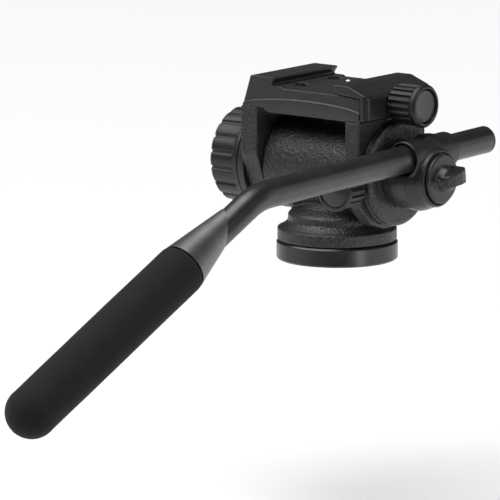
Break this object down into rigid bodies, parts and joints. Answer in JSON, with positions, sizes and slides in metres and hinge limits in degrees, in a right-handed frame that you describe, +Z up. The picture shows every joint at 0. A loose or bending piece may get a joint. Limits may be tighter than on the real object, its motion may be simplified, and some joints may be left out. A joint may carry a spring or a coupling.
{
  "type": "pan and tilt fluid head",
  "caption": "Fluid video head: flat round base, cast barrel between two side arms, tilting plate clamp, and a bent pan bar with a foam grip.",
  "frame": {"origin": "mouth of the tripod thread, centre of the base's underside", "axes": "+Z up along the pan axis, +X along the tilt axis towards the pan bar, +Y towards the lens, the user stands at -Y"},
  "size_m": [0.136, 0.3453, 0.1309],
  "materials": {
    "cast_black": "textured satin powder coat",
    "satin_black": "fine satin",
    "machined_black": "black anodised, turned",
    "tube_black": "black anodised, satin",
    "sleeve_grey": "dark grey satin",
    "knob_black": "moulded, satin",
    "cap_black": "semi gloss",
    "foam": "closed cell foam, matt",
    "steel": "bright",
    "bronze": "sintered",
    "liner": "matt"
  },
  "bodies": {
    "base": {"base_disc": "machined_black", "thread_bush": "steel", "pan_spindle": "steel", "pan_bearing": "steel", "pan_spring_washer": "steel", "pan_nut": "steel"},
    "housing": {"pan_housing": "cast_black", "pan_friction_washer": "bronze", "tilt_bush_left": "bronze", "tilt_bush_right": "bronze", "tilt_drag_cup": "machined_black", "balance_spring": "steel"},
    "pan_lock": {"pan_lock_knob": "knob_black", "pan_lock_stud": "steel"},
    "bridge": {"tilt_shaft": "steel", "tilt_drag_rotor": "machined_black", "left_arm": "cast_black", "right_arm": "cast_black", "platform": "cast_black", "floor_screws": "steel", "arm_screws": "steel", "left_hub": "satin_black", "right_disc": "cast_black", "hub_rosette": "satin_black", "clamp_springs": "steel", "stop_pin_spring": "steel"},
    "stop": {"stop_pin": "steel"},
    "jaw": {"moving_jaw": "satin_black", "jaw_pins": "steel"},
    "clamp": {"clamp_knob": "knob_black", "clamp_knob_cap": "cap_black", "clamp_screw": "steel"},
    "drag": {"drag_knob": "knob_black", "drag_knob_core": "steel", "drag_knob_cap": "cap_black"},
    "tilt_lock": {"tilt_lock_knob": "knob_black", "tilt_lock_cap": "cap_black", "tilt_lock_stud": "steel"},
    "bracket": {"bar_bracket": "satin_black", "bracket_rosette": "satin_black"},
    "wing": {"wing_screw": "cap_black", "wing_stud": "steel"},
    "bush": {"bar_bush": "liner"},
    "bar": {"bar_tube": "tube_black", "bar_end_cap": "liner", "grip_sleeve": "sleeve_grey", "foam_grip": "foam", "grip_end_plug": "liner"}
  },
  "joints": [
    {"name": "pan", "type": "hinge", "parent": "base", "child": "housing", "pos_m": [0, 0, 0], "axis": [0, 0, 1], "continuous": true},
    {"name": "pan_lock_turn", "type": "hinge", "parent": "housing", "child": "pan_lock", "pos_m": [0, 0.035, 0.0127], "axis": [0, 1, 0], "range_deg": [0, 360]},
    {"name": "tilt", "type": "hinge", "parent": "housing", "child": "bridge", "pos_m": [0, 0, 0.046], "axis": [1, 0, 0], "range_deg": [-75, 40]},
    {"name": "stop_press", "type": "slide", "parent": "bridge", "child": "stop", "axis": [0, 0, -1], "range_m": [0, 0.0009], "stiffness_N_per_m": 300, "springref_m": -0.001},
    {"name": "jaw_slide", "type": "slide", "parent": "bridge", "child": "jaw", "axis": [1, 0, 0], "range_m": [0, 0.003]},
    {"name": "clamp_turn", "type": "hinge", "parent": "jaw", "child": "clamp", "pos_m": [0.046, -0.002, 0.081], "axis": [1, 0, 0], "range_deg": [0, 1080]},
    {"name": "drag_turn", "type": "hinge", "parent": "bridge", "child": "drag", "pos_m": [-0.052, 0, 0.046], "axis": [1, 0, 0], "range_deg": [-270, 0]},
    {"name": "tilt_lock_turn", "type": "hinge", "parent": "bridge", "child": "tilt_lock", "pos_m": [0.0293, -0.035, 0.0416], "axis": [0, 1, 0], "range_deg": [0, 360]},
    {"name": "bar_tilt", "type": "hinge", "parent": "bridge", "child": "bracket", "pos_m": [0.052, 0, 0.046], "axis": [1, 0, 0], "range_deg": [-30, 30]},
    {"name": "wing_turn", "type": "hinge", "parent": "bracket", "child": "wing", "pos_m": [0.066, 0, 0.046], "axis": [1, 0, 0], "range_deg": [0, 360]},
    {"name": "bar_twist", "type": "hinge", "parent": "bracket", "child": "bush", "pos_m": [0.052, 0, 0.0564], "axis": [0, 0.9998, 0.0209], "continuous": true},
    {"name": "bar_slide", "type": "slide", "parent": "bush", "child": "bar", "axis": [0, 0.9998, 0.0209], "range_m": [-0.03, 0.06]}
  ],
  "couplings": [
    {"joint": "clamp_turn", "follows": "jaw_slide", "rad_per_m": 6283.2}
  ]
}
